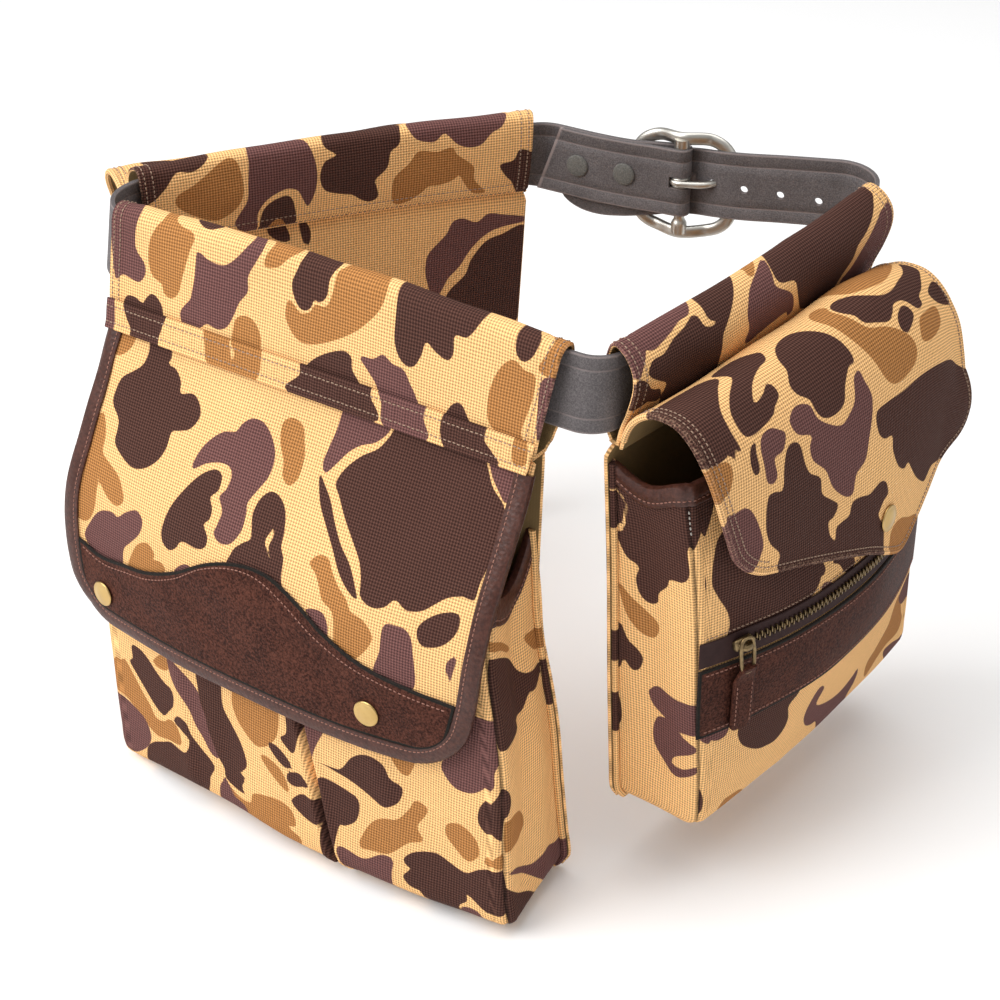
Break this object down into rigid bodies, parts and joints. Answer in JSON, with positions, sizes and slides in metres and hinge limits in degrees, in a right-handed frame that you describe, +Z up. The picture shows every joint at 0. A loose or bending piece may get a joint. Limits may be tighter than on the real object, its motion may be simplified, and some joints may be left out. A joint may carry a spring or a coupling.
{
  "type": "belted hunting game bag",
  "caption": "Waist belt that carries a flapped rear game bag and two shell pouches of camouflage canvas with leather trim, brass snaps and a centre-bar buckle.",
  "frame": {"origin": "centre of the waist loop at the belt's mid height", "axes": "+Z up as worn, -Y out of the rear bag, +X towards the wearer's right pouch"},
  "size_m": [0.4824, 0.3489, 0.3237],
  "materials": {
    "canvas": "lined canvas with a blob camouflage print",
    "leather": "oiled, satin",
    "zip_cloth": "woven tape",
    "brass": "antique",
    "belt_leather": "matt, grained",
    "chrome": "polished"
  },
  "bodies": {
    "root": {"belt_strap": "belt_leather", "belt_rivet_1": "belt_leather", "belt_rivet_2": "belt_leather", "buckle_frame": "chrome", "buckle_prong": "chrome", "rear_belt_tunnel": "canvas", "rear_stitch_band": "canvas", "rear_back_panel": "canvas", "rear_pouch_body": "canvas", "rear_mouth_binding": "leather", "rear_flap": "canvas", "rear_flap_binding": "leather", "rear_flap_yoke": "leather", "rear_snap_left": "brass", "rear_snap_right": "brass", "right_belt_tunnel": "canvas", "right_back_panel": "canvas", "right_pouch_body": "canvas", "right_mouth_binding": "leather", "right_flap": "canvas", "right_leather_band": "leather", "right_snap": "brass", "right_zip_tape": "zip_cloth", "right_zip_teeth": "brass", "right_zip_slider": "brass", "right_zip_loop": "brass", "right_zip_tab": "leather", "left_belt_tunnel": "canvas", "left_back_panel": "canvas", "left_pouch_body": "canvas", "left_mouth_binding": "leather", "left_flap": "canvas", "left_leather_band": "leather", "left_snap": "brass", "left_zip_tape": "zip_cloth", "left_zip_teeth": "brass", "left_zip_slider": "brass", "left_zip_loop": "brass", "left_zip_tab": "leather"}
  },
  "joints": []
}
